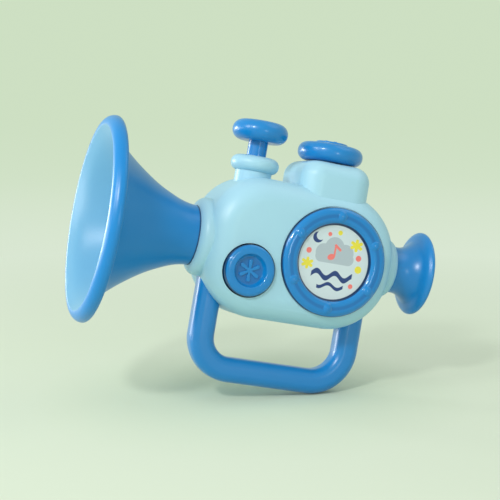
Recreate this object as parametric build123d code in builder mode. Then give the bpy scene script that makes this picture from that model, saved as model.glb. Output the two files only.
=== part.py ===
from build123d import *

import os
from math import asin, cos, radians, sin

# Toy trumpet in millimetres. +X runs from the bell to the mouthpiece, -Y is the porthole side and +Z
# is up. The origin is at mid length, on the base line of the handle. A rise or a drop is a height over
# or under the horn's axis, and a reach is a distance along X from mid length.

os.makedirs("parts", exist_ok=True)

# Overall
overall_length = 202.0
axis_height = 79.7

# Clearances
running_clearance = 0.08
seat_clearance = 0.15
loose_clearance = 0.3
overrun = 4.0

# Casing
casing_left_reach = 37.0
casing_right_reach = 75.8
casing_rise = 38.6
casing_drop = 40.6
casing_half_depth = 27.7
casing_edge_round = 14.0
left_flat = 14.7
right_flat = 6.7
left_upper_share = 0.473
right_upper_share = 0.49
wall = 2.6

neck_radius = 22.4
neck_proud = 4.0
neck_round = 5.5
neck_inner_round = 1.2
mouth_collar_wall = 3.5
mouth_collar_proud = 5.7
mouth_collar_round = 4.0

turret_x = 33.4
turret_half_length = 21.0
turret_setback = 3.1
turret_corner = 11.5
turret_height = 15.4
turret_top_round = 9.0

# Bell
bell_radius = 58.0
bell_wall = 3.0
throat_radius = 17.0
throat_flange_width = 2.1
throat_spigot_radius = 15.0
throat_spigot_length = 2.5
neck_rib_thickness = 2.0
neck_rib_half_width = 22.0
lip_depth = 7.6
lip_crown_width = 5.3
lip_ridge_inset = 5.3
lip_ridge_width = 0.36
lip_ridge_drop = 1.15
lip_edge_drop = 2.1
lip_skirt = 1.4
lip_groove_depth = 4.1
flare_end_inset = 7.0
flare_shares = ((0.067, 0.012), (0.172, 0.053), (0.283, 0.126), (0.424, 0.238), (0.531, 0.345),
                (0.638, 0.465), (0.749, 0.603), (0.859, 0.762))
flare_thickening_share = 0.4

# Mouthpiece
mouth_rim_radius = 24.7
mouth_tube_radius = 13.65
mouth_tube_wall = 3.0
mouth_neck_length = 4.0
mouth_flare_length = 15.5
mouth_flange_lip = 3.35
mouth_flange_width = 2.1
mouth_floor = 2.0
mouth_rim_thickness = 2.8
mouth_flare_shares = ((0.276, 0.05), (0.551, 0.22), (0.787, 0.50))
nozzle_radius = 7.0
nozzle_length = 11.0
blow_bore_radius = 4.0

# Handle, a rounded square tube in two halves
handle_left_inset = 11.0
handle_right_inset = 13.3
handle_width = 14.4
handle_depth = 15.5
handle_section_round = 5.6
handle_wall = 2.4
handle_left_bend = 18.5
handle_right_bend = 20.5
handle_left_drop = 22.5
handle_right_drop = 14.0
socket_wall = 2.2

# Plunger valve
valve_x = -11.1
valve_travel = 7.0
valve_end_gap = 1.6
stem_radius = 5.6
valve_cap_radius = 16.1
valve_cap_thickness = 11.7
valve_cap_round_share = 0.496
valve_cap_socket_depth = 7.0
chimney_radius = 10.5
chimney_height = 6.4
ring_radius = 13.9
ring_gap = 2.9
ring_thickness = 8.9
ring_round_share = 0.483
sleeve_radius = 12.0
sleeve_wall = 2.2
sleeve_drop = 10.6
sleeve_length = 30.0
sleeve_floor = 1.6
piston_thickness = 3.5
shelf_thickness = 2.0
shelf_half_width = 5.0
shelf_reach = 8.0
valve_wire_radius = 0.5
valve_coil_gap = 1.9
valve_coil_turns = 7

# Turret knob
knob_radius = 19.1
knob_thickness = 10.6
knob_gap = 0.8
knob_round_share = 0.472
hub_radius = 9.5
hub_height = 1.5
hub_round = 1.0
hub_petal_height = 0.5
spindle_radius = 4.0
spindle_socket_depth = 6.0
spindle_flat_share = 0.7
ratchet_radius = 9.0
ratchet_thickness = 4.0
ratchet_gap = 0.3
ratchet_lobes = 12
ratchet_notch_radius = 1.6
ratchet_notch_offset = 0.6
knob_screw_radius = 1.5
knob_screw_length = 7.0
knob_screw_head_radius = 4.6
knob_screw_head = 1.8
leaf_thickness = 0.5
leaf_height = 3.4
leaf_length = 15.0
leaf_bump = 1.4
leaf_anchor_length = 6.0
leaf_anchor_wall = 1.4

# Push button
button_gap = 3.0
button_drop = 14.1
button_radius = 14.5
button_clearance = 0.65
button_proud = 3.0
button_crest_share = 0.84
button_brow_round = 0.9
button_dish_slope = 1.2
button_dish_share = 0.545
button_dish_depth = 3.0
button_floor = 2.2
button_skirt_wall = 2.0
guide_depth = 6.0
guide_wall = 1.7
retainer_thickness = 1.6
retainer_overlap = 1.4
retainer_groove = 0.7
spring_post_radius = 6.2
spring_post_reach = 9.0
spring_boss_radius = 3.2
spring_boss_height = 3.0
button_wire_radius = 0.45
button_coil_radius = 5.2
button_coil_turns = 6

# Six-petal relief on the button and the knob
petals = 6
petal_reach = 5.2
petal_tip_radius = 1.15
petal_root_radius = 0.7
petal_root_reach = 1.0
petal_height = 0.8
petal_round = 0.35

# Porthole
porthole_x = 35.8
porthole_drop = 1.8
porthole_radius = 31.0
porthole_face_width = 9.2
porthole_recess = 1.2
porthole_clearance = 0.6
porthole_proud = 2.8
outer_shoulder_width = 3.5
outer_shoulder_fall = 2.2
inner_shoulder_width = 3.0
inner_shoulder_fall = 1.8
rivets = 6
rivet_radius = 2.7
rivet_height = 0.9
disc_lip = 1.0
disc_thickness = 1.2
pegs = 3
peg_radius = 1.4
peg_length = 4.5

# Reed and air tube
tube_wall = 1.5
tube_length = 34.0
reed_tail_length = 9.0
reed_flange_radius = 9.5
reed_flange_thickness = 2.5
reed_body_length = 18.0
reed_body_radius = 6.6
reed_bore_radius = 3.4
reed_slot_width = 3.0
reed_slot_length = 12.0
reed_flat_share = 0.55
tongue_width = 5.0
tongue_thickness = 0.4
tongue_length = 15.0
reed_rib_thickness = 2.0
reed_rib_half_height = 13.0

# Screws
screw_radius = 1.45
screw_length = 21.0
screw_head_radius = 2.8
screw_head_height = 2.0
screw_slot_length = 3.4
screw_slot_width = 0.5
screw_well_radius = 3.2
screw_seat_depth = 13.0
screw_boss_radius = 4.2
upper_screw_shares = ((0.092, 0.803), (0.818, 0.57))
lower_screw_shares = ((0, 0.813), (0.472, 0.837))
neck_screw_shares = (0.77, 0.364)
turret_screw_shares = (0.676, 0.833)
handle_screw_length = 12.0
handle_left_screw_inset = 3.2
handle_right_screw_inset = 6.0

# Places worked out from the sizes above
mouth_collar_radius = mouth_tube_radius + seat_clearance + mouth_collar_wall
mouth_collar_reach = casing_right_reach + mouth_collar_proud
mouth_reach = mouth_collar_reach + mouth_neck_length + mouth_flare_length
bell_reach = overall_length - mouth_reach
neck_reach = casing_left_reach + neck_proud
throat_flange_radius = neck_radius - wall - neck_inner_round
mouth_flange_radius = mouth_tube_radius + mouth_flange_lip
flare_end_radius = bell_radius - flare_end_inset
turret_half_depth = casing_half_depth - turret_setback
turret_rise = casing_rise + turret_height
chimney_rise = casing_rise + chimney_height
ring_base_rise = casing_rise + ring_gap
ring_rise = ring_base_rise + ring_thickness
valve_cap_base_rise = ring_rise + valve_travel + valve_end_gap
sleeve_rise = casing_rise - sleeve_drop
sleeve_base_rise = sleeve_rise - sleeve_length
valve_coil_radius = sleeve_radius - sleeve_wall - valve_wire_radius - valve_coil_gap
chimney_bore = chimney_radius - wall
knob_base_rise = turret_rise + knob_gap
ratchet_top_rise = turret_rise - wall - ratchet_gap
ratchet_base_rise = ratchet_top_rise - ratchet_thickness
throat_seat_x = -neck_reach + wall
neck_rib_x = throat_seat_x + throat_flange_width + 2 * seat_clearance
mouth_seat_x = casing_right_reach - wall
nozzle_base_x = mouth_seat_x - seat_clearance - mouth_flange_width
nozzle_tip_x = nozzle_base_x - nozzle_length
tube_left_x = nozzle_base_x - 2 * seat_clearance - tube_length
reed_rib_x = tube_left_x - seat_clearance
handle_left_x = -casing_left_reach + handle_left_inset
handle_right_x = casing_right_reach - handle_right_inset
button_x = porthole_x - porthole_radius - button_gap - button_radius
button_centre = (button_x, axis_height - button_drop)
porthole_centre = (porthole_x, axis_height - porthole_drop)
porthole_opening = porthole_radius - porthole_face_width
disc_radius = porthole_opening + disc_lip
plateau_outer_radius = porthole_radius - outer_shoulder_width
plateau_inner_radius = porthole_opening + inner_shoulder_width
rivet_circle = (plateau_outer_radius + plateau_inner_radius) / 2
guide_y = -casing_half_depth + wall + guide_depth
leaf_y = ratchet_radius + ratchet_notch_offset - ratchet_notch_radius + loose_clearance + leaf_thickness + leaf_bump
piston_top_rise = sleeve_rise - loose_clearance
piston_base_rise = piston_top_rise - piston_thickness
spindle_base_rise = ratchet_base_rise + seat_clearance
horn_axis = Axis((0, 0, axis_height), (1, 0, 0))
casing_screw_places = [(casing_right_reach * x, axis_height + casing_rise * rise) for x, rise in upper_screw_shares]
casing_screw_places += [(casing_right_reach * x, axis_height - casing_drop * drop) for x, drop in lower_screw_shares]
casing_screw_places.append(
    (-casing_left_reach * neck_screw_shares[0], axis_height + casing_rise * neck_screw_shares[1])
)
casing_screw_places.append(
    (turret_x - turret_half_length * turret_screw_shares[0], axis_height + turret_rise * turret_screw_shares[1])
)
handle_screw_places = [
    (handle_left_x, axis_height - handle_left_drop - handle_left_screw_inset),
    (handle_right_x, axis_height - handle_right_drop - handle_right_screw_inset),
]


def level(rise):
    """A level plane at a rise over the horn's axis."""
    return Plane.XY.offset(axis_height + rise)


def across(x):
    """An upright plane square to the horn's axis, facing the mouthpiece."""
    return Plane.YZ.offset(x)


def facing(y):
    """An upright plane that faces the porthole side, at a depth."""
    return Plane.XZ.offset(-y)


def casing_block(inset, end_round):
    """The casing's rounded block with its neck and turret, drawn in by an inset for the hollow."""
    top = axis_height + casing_rise - inset
    bottom = axis_height - casing_drop + inset
    left = -casing_left_reach + inset
    right = casing_right_reach - inset
    left_rounds = casing_rise + casing_drop - left_flat
    right_rounds = casing_rise + casing_drop - right_flat
    upper_left = left_rounds * left_upper_share - inset
    lower_left = left_rounds * (1 - left_upper_share) - inset
    upper_right = right_rounds * right_upper_share - inset
    lower_right = right_rounds * (1 - right_upper_share) - inset
    depth = casing_half_depth - inset
    with BuildPart() as block:
        with BuildSketch(facing(depth)):
            with BuildLine():
                Line((left + upper_left, top), (right - upper_right, top))
                TangentArc((right - upper_right, top), (right, top - upper_right), tangent=(1, 0))
                Line((right, top - upper_right), (right, bottom + lower_right))
                TangentArc((right, bottom + lower_right), (right - lower_right, bottom), tangent=(0, -1))
                Line((right - lower_right, bottom), (left + lower_left, bottom))
                TangentArc((left + lower_left, bottom), (left, bottom + lower_left), tangent=(-1, 0))
                Line((left, bottom + lower_left), (left, top - upper_left))
                TangentArc((left, top - upper_left), (left + upper_left, top), tangent=(0, 1))
            make_face()
        extrude(amount=2 * depth)
        fillet(block.faces().filter_by(Axis.Y).edges(), radius=casing_edge_round - inset)
        with BuildSketch(across(-neck_reach + inset)):
            with Locations((0, axis_height)):
                Circle(neck_radius - inset)
        extrude(amount=neck_reach - casing_left_reach + casing_edge_round)
        fillet(block.edges().group_by(Axis.X)[0], radius=end_round)
        with BuildSketch(level(0)):
            with Locations((turret_x, 0)):
                RectangleRounded(
                    2 * (turret_half_length - inset), 2 * (turret_half_depth - inset), turret_corner - inset
                )
        extrude(amount=turret_rise - inset)
        fillet(block.edges().group_by(Axis.Z)[-1], radius=turret_top_round - inset)
    return block.part


def handle_tube(margin, left_extra, right_extra):
    """The handle's tube as a solid bar, grown or drawn in by a margin, with its legs made longer."""
    base = handle_width / 2
    left_top = axis_height - handle_left_drop
    right_top = axis_height - handle_right_drop
    corner = handle_section_round + margin
    with BuildPart() as bar:
        with BuildLine(Plane.XZ):
            FilletPolyline(
                (handle_left_x, left_top + left_extra),
                (handle_left_x, base),
                (handle_right_x, base),
                (handle_right_x, right_top + right_extra),
                radius=(handle_left_bend, handle_right_bend),
            )
        with BuildSketch(Plane.XY.offset(left_top + left_extra)):
            with Locations((handle_left_x, 0)):
                RectangleRounded(handle_width + 2 * margin, handle_depth + 2 * margin, corner)
        sweep()
    return bar.part


def coil_spring(plane, coil_radius, wire_radius, length, turns):
    """A wound wire spring that stands on a plane, on quarter-turn arcs."""
    quarters = 4 * turns
    climb = (length - 2 * wire_radius) / quarters
    with BuildPart() as spring:
        with BuildLine(plane):
            for quarter in range(quarters):
                places = []
                for step_share in (0, 0.5, 1):
                    angle = radians(90 * (quarter + step_share))
                    rise = wire_radius + climb * (quarter + step_share)
                    places.append((coil_radius * cos(angle), coil_radius * sin(angle), rise))
                ThreePointArc(*places)
        start = plane * Plane(origin=(coil_radius, 0, wire_radius), x_dir=(1, 0, 0), z_dir=(0, 1, 0))
        with BuildSketch(start):
            Circle(wire_radius)
        sweep()
    return spring.part


def petal_relief(plane, height):
    """Six raised petals with rounded tops that meet in the middle, standing on a plane."""
    slope = (petal_tip_radius - petal_root_radius) / (petal_reach - petal_root_reach)
    upright = cos(asin(slope))
    root = (petal_root_reach - petal_root_radius * slope, petal_root_radius * upright)
    tip = (petal_reach - petal_tip_radius * slope, petal_tip_radius * upright)
    with BuildPart() as petal:
        with BuildSketch():
            with BuildLine():
                Line(root, tip)
                ThreePointArc(tip, (petal_reach + petal_tip_radius, 0), (tip[0], -tip[1]))
                Line((tip[0], -tip[1]), (root[0], -root[1]))
                ThreePointArc((root[0], -root[1]), (petal_root_reach - petal_root_radius, 0), root)
            make_face()
        extrude(amount=height)
        fillet(petal.faces().sort_by(Axis.Z)[-1].edges(), radius=petal_round)
    with BuildPart() as relief:
        with PolarLocations(0, petals, start_angle=90):
            add(petal.part)
        with BuildSketch():
            Circle(petal_root_reach)
        extrude(amount=height)
    return relief.part.moved(plane.location)


# Casing: the closed form, its hollow with bosses and ribs left standing, and the openings
with BuildPart() as outer_form:
    add(casing_block(0, neck_round))
    with BuildSketch(across(casing_right_reach - casing_edge_round)):
        with Locations((0, axis_height)):
            Circle(mouth_collar_radius)
    extrude(amount=mouth_collar_reach - casing_right_reach + casing_edge_round)
    fillet(outer_form.edges().group_by(Axis.X)[-1], radius=mouth_collar_round)
    with BuildSketch(level(sleeve_rise)):
        with Locations((valve_x, 0)):
            Circle(chimney_radius)
    extrude(amount=chimney_rise - sleeve_rise)

with BuildPart() as hollow:
    add(casing_block(wall, neck_inner_round))
    # Screw bosses run the full depth and meet at the parting plane
    with BuildSketch(facing(casing_half_depth)):
        with Locations(*casing_screw_places):
            Circle(screw_boss_radius)
    extrude(amount=2 * casing_half_depth, mode=Mode.SUBTRACT)
    # The boss under the chimney, which the valve's sleeve butts against
    with BuildSketch(level(sleeve_rise)):
        with Locations((valve_x, 0)):
            Circle(sleeve_radius)
    extrude(amount=chimney_rise - sleeve_rise, mode=Mode.SUBTRACT)
    # Ribs that clamp the bell's throat flange, the mouthpiece's flange and the reed holder
    with BuildSketch(across(neck_rib_x)):
        with Locations((0, axis_height)):
            Rectangle(2 * casing_half_depth, 2 * neck_rib_half_width)
            Circle(throat_spigot_radius + seat_clearance, mode=Mode.SUBTRACT)
    extrude(amount=neck_rib_thickness, mode=Mode.SUBTRACT)
    with BuildSketch(across(nozzle_base_x - seat_clearance - reed_rib_thickness)):
        with Locations((0, axis_height)):
            Rectangle(2 * casing_half_depth, 2 * mouth_flange_radius)
            Circle(nozzle_radius + tube_wall + loose_clearance, mode=Mode.SUBTRACT)
    extrude(amount=reed_rib_thickness, mode=Mode.SUBTRACT)
    with BuildSketch(across(reed_rib_x - reed_rib_thickness)):
        with Locations((0, axis_height)):
            Rectangle(2 * casing_half_depth, 2 * reed_rib_half_height)
            Circle(nozzle_radius + seat_clearance, mode=Mode.SUBTRACT)
    extrude(amount=reed_rib_thickness, mode=Mode.SUBTRACT)
    # Sockets round the handle's legs, each with a boss for its screw
    for leg_x, leg_drop in ((handle_left_x, handle_left_drop), (handle_right_x, handle_right_drop)):
        with BuildSketch(Plane.XY):
            with Locations((leg_x, 0)):
                Rectangle(
                    handle_width + 2 * (seat_clearance + socket_wall),
                    handle_depth + 2 * (seat_clearance + socket_wall),
                )
        extrude(amount=axis_height - leg_drop + socket_wall, mode=Mode.SUBTRACT)
    with BuildSketch(facing(casing_half_depth)):
        with Locations(*handle_screw_places):
            Circle(screw_boss_radius)
    extrude(amount=casing_half_depth, mode=Mode.SUBTRACT)
    # The guide tube behind the push button
    with BuildSketch(facing(guide_y)):
        with Locations(button_centre):
            Circle(button_radius + button_clearance + guide_wall)
    extrude(amount=guide_depth + overrun, mode=Mode.SUBTRACT)

with BuildPart() as casing:
    add(outer_form.part)
    add(hollow.part, mode=Mode.SUBTRACT)
    # Bell throat, mouthpiece tube and the pocket for the mouthpiece's flange
    with BuildSketch(across(-neck_reach - overrun)):
        with Locations((0, axis_height)):
            Circle(throat_radius + seat_clearance)
    extrude(amount=wall + overrun + seat_clearance, mode=Mode.SUBTRACT)
    with BuildSketch(across(nozzle_base_x - seat_clearance)):
        with Locations((0, axis_height)):
            Circle(mouth_flange_radius + seat_clearance)
    extrude(amount=mouth_flange_width + 2 * seat_clearance, mode=Mode.SUBTRACT)
    with BuildSketch(across(nozzle_base_x)):
        with Locations((0, axis_height)):
            Circle(mouth_tube_radius + seat_clearance)
    extrude(amount=mouth_collar_reach - nozzle_base_x + overrun, mode=Mode.SUBTRACT)
    # Valve bore down the chimney and the knob's spindle hole in the turret's roof
    with BuildSketch(level(sleeve_rise)):
        with Locations((valve_x, 0)):
            Circle(chimney_bore)
    extrude(amount=chimney_rise - sleeve_rise + overrun, mode=Mode.SUBTRACT)
    with BuildSketch(level(turret_rise - wall - overrun)):
        with Locations((turret_x, 0)):
            Circle(spindle_radius + running_clearance)
    extrude(amount=wall + 2 * overrun, mode=Mode.SUBTRACT)
    # Button hole and the seat of the porthole ring
    with BuildSketch(facing(guide_y + overrun)):
        with Locations(button_centre):
            Circle(button_radius + button_clearance)
    extrude(amount=casing_half_depth + overrun, mode=Mode.SUBTRACT)
    with BuildSketch(facing(-casing_half_depth + porthole_recess)):
        with Locations(porthole_centre):
            Circle(porthole_radius + porthole_clearance)
    extrude(amount=porthole_recess + overrun, mode=Mode.SUBTRACT)
    with BuildSketch(facing(-casing_half_depth + porthole_recess + wall + overrun)):
        with Locations(porthole_centre):
            with PolarLocations(rivet_circle, pegs, start_angle=90):
                Circle(peg_radius + seat_clearance)
    extrude(amount=wall + 2 * overrun, mode=Mode.SUBTRACT)
    # The handle's legs pass into their sockets
    add(handle_tube(seat_clearance, seat_clearance, seat_clearance), mode=Mode.SUBTRACT)
    # Screw wells in the rear half and pilot holes into the front half
    with BuildSketch(facing(casing_half_depth + overrun)):
        with Locations(*casing_screw_places):
            Circle(screw_well_radius)
    extrude(amount=casing_half_depth + overrun - screw_seat_depth, mode=Mode.SUBTRACT)
    with BuildSketch(facing(screw_seat_depth)):
        with Locations(*casing_screw_places):
            Circle(screw_radius + running_clearance)
    extrude(amount=screw_length + running_clearance, mode=Mode.SUBTRACT)
    with BuildSketch(facing(casing_half_depth + overrun)):
        with Locations(*handle_screw_places):
            Circle(screw_well_radius)
    extrude(amount=casing_half_depth + overrun - screw_seat_depth, mode=Mode.SUBTRACT)
    with BuildSketch(facing(screw_seat_depth)):
        with Locations(*handle_screw_places):
            Circle(screw_radius + running_clearance)
    extrude(amount=handle_screw_length, mode=Mode.SUBTRACT)

# Front shell
with BuildPart() as front_shell:
    add(casing.part)
    split(bisect_by=Plane.XZ, keep=Keep.TOP)
front_shell.part.label = "front_shell"
export_step(front_shell.part, "parts/front_shell.step")

# Rear shell, with the shelf under the valve, the button's spring post and the click spring's anchor
with BuildPart() as rear_shell:
    add(casing.part)
    split(bisect_by=Plane.XZ, keep=Keep.BOTTOM)
    with BuildSketch(level(sleeve_base_rise - shelf_thickness)):
        with Locations((valve_x, (casing_half_depth - shelf_reach) / 2 - wall / 4)):
            Rectangle(2 * shelf_half_width, casing_half_depth + shelf_reach - wall / 2)
    extrude(amount=shelf_thickness)
    with BuildSketch(facing(casing_half_depth - wall / 2)):
        with Locations(button_centre):
            Circle(spring_post_radius)
    extrude(amount=casing_half_depth - wall / 2 + spring_post_reach)
    with BuildSketch(level(ratchet_base_rise)):
        with Locations((turret_x + leaf_length - leaf_anchor_length / 2, leaf_y)):
            Rectangle(leaf_anchor_length, leaf_thickness + 2 * (seat_clearance + leaf_anchor_wall))
            Rectangle(leaf_anchor_length, leaf_thickness + 2 * seat_clearance, mode=Mode.SUBTRACT)
    extrude(amount=ratchet_thickness + ratchet_gap + wall / 2)
rear_shell.part.label = "rear_shell"
export_step(rear_shell.part, "parts/rear_shell.step")

# Bell: one revolved wall from the throat to a rolled lip, which is cored out from behind
lip_back_x = -bell_reach + lip_depth
lip_floor_x = lip_back_x - lip_groove_depth
lip_crown_x = -bell_reach + lip_crown_width
flange_x = throat_seat_x + seat_clearance
tail_x = flange_x + throat_flange_width + throat_spigot_length
bore_radius = throat_radius - bell_wall
flare_run = lip_floor_x + neck_reach
flare_rise = flare_end_radius - throat_radius
outer_flare = [(-neck_reach, axis_height + throat_radius)]
inner_flare = []
for run_share, rise_share in flare_shares + ((1, 1),):
    flare_x = -neck_reach + flare_run * run_share
    flare_radius = throat_radius + flare_rise * rise_share
    thickness = bell_wall * (1 + flare_thickening_share * run_share)
    outer_flare.append((flare_x, axis_height + flare_radius))
    inner_flare.insert(0, (flare_x, axis_height + flare_radius - thickness))
inner_flare.append((-neck_reach, axis_height + bore_radius))
with BuildPart() as bell:
    with BuildSketch(Plane.XZ):
        with BuildLine():
            Polyline(
                (-neck_reach, axis_height + bore_radius),
                (tail_x, axis_height + bore_radius),
                (tail_x, axis_height + throat_spigot_radius),
                (flange_x + throat_flange_width, axis_height + throat_spigot_radius),
                (flange_x + throat_flange_width, axis_height + throat_flange_radius),
                (flange_x, axis_height + throat_flange_radius),
                (flange_x, axis_height + throat_radius),
                (-neck_reach, axis_height + throat_radius),
            )
            Spline(outer_flare)
            edge = (lip_back_x, axis_height + bell_radius - lip_edge_drop)
            crown = (lip_crown_x, axis_height + bell_radius)
            ridge = (-bell_reach, axis_height + bell_radius - lip_ridge_inset)
            Polyline(
                (lip_floor_x, axis_height + flare_end_radius),
                (lip_floor_x, axis_height + bell_radius - lip_ridge_inset / 2),
                (lip_back_x, axis_height + bell_radius - lip_edge_drop - lip_skirt),
                edge,
            )
            TangentArc(crown, edge, tangent=(1, 0))
            TangentArc(crown, ridge, tangent=(-1, 0))
            brow = TangentArc(
                ridge, (ridge[0] + lip_ridge_width, ridge[1] - lip_ridge_drop), tangent=(0, -1)
            )
            Spline([brow @ 1] + inner_flare, tangents=(brow % 1, (1, 0)))
        make_face()
    revolve(axis=horn_axis)
bell.part.label = "bell"
export_step(bell.part, "parts/bell.step")

# Mouthpiece: a flared cup on a tube, with a trapped flange and a nozzle for the air tube
mouth_rim_back_x = mouth_reach - mouth_rim_thickness
mouth_flare_x = mouth_reach - mouth_flare_length
mouth_floor_x = nozzle_base_x + mouth_floor
mouth_bore_radius = mouth_tube_radius - mouth_tube_wall
rim_back_radius = mouth_rim_radius - mouth_rim_thickness / 4
rim_front_radius = mouth_rim_radius - mouth_rim_thickness / 2
cup_radius = rim_front_radius - mouth_rim_thickness / 2
outer_cup = [(mouth_flare_x, axis_height + mouth_tube_radius)]
inner_cup = []
for run_share, rise_share in mouth_flare_shares:
    cup_x = mouth_flare_x + (mouth_rim_back_x - mouth_flare_x) * run_share
    outer_cup.append((cup_x, axis_height + mouth_tube_radius + (rim_back_radius - mouth_tube_radius) * rise_share))
    inner_cup.insert(0, (cup_x, axis_height + mouth_bore_radius + (cup_radius - mouth_bore_radius) * rise_share))
outer_cup.append((mouth_rim_back_x, axis_height + rim_back_radius))
inner_cup.append((mouth_flare_x, axis_height + mouth_bore_radius))
with BuildPart() as mouthpiece:
    with BuildSketch(Plane.XZ):
        with BuildLine():
            Polyline(
                (mouth_flare_x, axis_height + mouth_bore_radius),
                (mouth_floor_x, axis_height + mouth_bore_radius),
                (mouth_floor_x, axis_height + blow_bore_radius),
                (nozzle_tip_x, axis_height + blow_bore_radius),
                (nozzle_tip_x, axis_height + nozzle_radius),
                (nozzle_base_x, axis_height + nozzle_radius),
                (nozzle_base_x, axis_height + mouth_flange_radius),
                (nozzle_base_x + mouth_flange_width, axis_height + mouth_flange_radius),
                (nozzle_base_x + mouth_flange_width, axis_height + mouth_tube_radius),
                (mouth_flare_x, axis_height + mouth_tube_radius),
            )
            Spline(outer_cup, tangents=((1, 0), (1, 1)))
            crest = (mouth_reach - mouth_rim_thickness / 2, axis_height + mouth_rim_radius)
            TangentArc(crest, (mouth_rim_back_x, axis_height + rim_back_radius), tangent=(-1, 0))
            TangentArc(crest, (mouth_reach, axis_height + rim_front_radius), tangent=(1, 0))
            lip = TangentArc(
                (mouth_reach, axis_height + rim_front_radius),
                (mouth_reach - mouth_rim_thickness / 2, axis_height + cup_radius),
                tangent=(0, -1),
            )
            Spline([lip @ 1] + inner_cup, tangents=(lip % 1, (-1, 0)))
        make_face()
    revolve(axis=horn_axis)
mouthpiece.part.label = "mouthpiece"
export_step(mouthpiece.part, "parts/mouthpiece.step")

# Handle: two half tubes that meet at the mid plane
with BuildPart() as handle:
    add(handle_tube(0, 0, 0))
    add(handle_tube(-handle_wall, overrun, overrun), mode=Mode.SUBTRACT)
    with BuildSketch(facing(screw_seat_depth)):
        with Locations(*handle_screw_places):
            Circle(screw_radius + running_clearance)
    extrude(amount=screw_seat_depth, mode=Mode.SUBTRACT)
with BuildPart() as handle_front:
    add(handle.part)
    split(bisect_by=Plane.XZ, keep=Keep.TOP)
handle_front.part.label = "handle_front"
export_step(handle_front.part, "parts/handle_front.step")
with BuildPart() as handle_rear:
    add(handle.part)
    split(bisect_by=Plane.XZ, keep=Keep.BOTTOM)
handle_rear.part.label = "handle_rear"
export_step(handle_rear.part, "parts/handle_rear.step")

# Chimney ring: a round collar that caps the chimney and guides the stem
with BuildPart() as chimney_ring:
    with BuildSketch(level(ring_base_rise)):
        with Locations((valve_x, 0)):
            Circle(ring_radius)
    extrude(amount=ring_thickness)
    fillet(chimney_ring.edges(), radius=ring_thickness * ring_round_share)
    with BuildSketch(level(ring_base_rise)):
        with Locations((valve_x, 0)):
            Circle(chimney_radius + seat_clearance)
    extrude(amount=chimney_rise - ring_base_rise, mode=Mode.SUBTRACT)
    with BuildSketch(level(sleeve_rise + loose_clearance + wall)):
        with Locations((valve_x, 0)):
            Circle(chimney_bore - seat_clearance)
    extrude(amount=ring_rise - sleeve_rise - loose_clearance - 2 * wall)
    with BuildSketch(level(sleeve_rise)):
        with Locations((valve_x, 0)):
            Circle(stem_radius + running_clearance)
    extrude(amount=ring_rise - sleeve_rise + overrun, mode=Mode.SUBTRACT)
chimney_ring.part.label = "chimney_ring"
export_step(chimney_ring.part, "parts/chimney_ring.step")

# Valve cap, pressed onto the stem
with BuildPart() as valve_cap:
    with BuildSketch(level(valve_cap_base_rise)):
        with Locations((valve_x, 0)):
            Circle(valve_cap_radius)
    extrude(amount=valve_cap_thickness)
    fillet(valve_cap.edges(), radius=valve_cap_thickness * valve_cap_round_share)
    with BuildSketch(level(valve_cap_base_rise)):
        with Locations((valve_x, 0)):
            Circle(stem_radius + running_clearance)
    extrude(amount=valve_cap_socket_depth, mode=Mode.SUBTRACT)
valve_cap.part.label = "valve_cap"
export_step(valve_cap.part, "parts/valve_cap.step")

# Valve stem with its piston, which stops under the chimney's boss
with BuildPart() as valve_stem:
    with BuildSketch(level(piston_base_rise)):
        with Locations((valve_x, 0)):
            Circle(sleeve_radius - sleeve_wall - loose_clearance)
    extrude(amount=piston_thickness)
    with BuildSketch(level(piston_top_rise)):
        with Locations((valve_x, 0)):
            Circle(stem_radius)
    extrude(amount=valve_cap_base_rise + valve_cap_socket_depth - piston_top_rise)
valve_stem.part.label = "valve_stem"
export_step(valve_stem.part, "parts/valve_stem.step")

# Valve sleeve: the cylinder that the piston runs in
with BuildPart() as valve_sleeve:
    with BuildSketch(level(sleeve_base_rise)):
        with Locations((valve_x, 0)):
            Circle(sleeve_radius)
    extrude(amount=sleeve_length)
    with BuildSketch(level(sleeve_base_rise + sleeve_floor)):
        with Locations((valve_x, 0)):
            Circle(sleeve_radius - sleeve_wall)
    extrude(amount=sleeve_length, mode=Mode.SUBTRACT)
valve_sleeve.part.label = "valve_sleeve"
export_step(valve_sleeve.part, "parts/valve_sleeve.step")

# Valve spring, from the sleeve's floor to the piston
valve_spring_rise = sleeve_base_rise + sleeve_floor
valve_spring_plane = Plane(origin=(valve_x, 0, axis_height + valve_spring_rise))
valve_spring = coil_spring(
    valve_spring_plane, valve_coil_radius, valve_wire_radius, piston_base_rise - valve_spring_rise, valve_coil_turns
)
valve_spring.label = "valve_spring"
export_step(valve_spring, "parts/valve_spring.step")

# Turret knob: a thick round dial with a raised hub
with BuildPart() as turret_knob:
    with BuildSketch(level(knob_base_rise)):
        with Locations((turret_x, 0)):
            Circle(knob_radius)
    extrude(amount=knob_thickness)
    fillet(turret_knob.edges(), radius=knob_thickness * knob_round_share)
    with BuildSketch(level(knob_base_rise + knob_thickness - hub_height)):
        with Locations((turret_x, 0)):
            Circle(hub_radius)
    extrude(amount=2 * hub_height)
    fillet(turret_knob.edges().group_by(Axis.Z)[-1], radius=hub_round)
    hub_plane = Plane(origin=(turret_x, 0, axis_height + knob_base_rise + knob_thickness + hub_height))
    add(petal_relief(hub_plane, hub_petal_height))
    with BuildSketch(level(knob_base_rise)):
        with Locations((turret_x, 0)):
            Circle(spindle_radius + running_clearance)
    extrude(amount=spindle_socket_depth, mode=Mode.SUBTRACT)
turret_knob.part.label = "turret_knob"
export_step(turret_knob.part, "parts/turret_knob.step")

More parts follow.
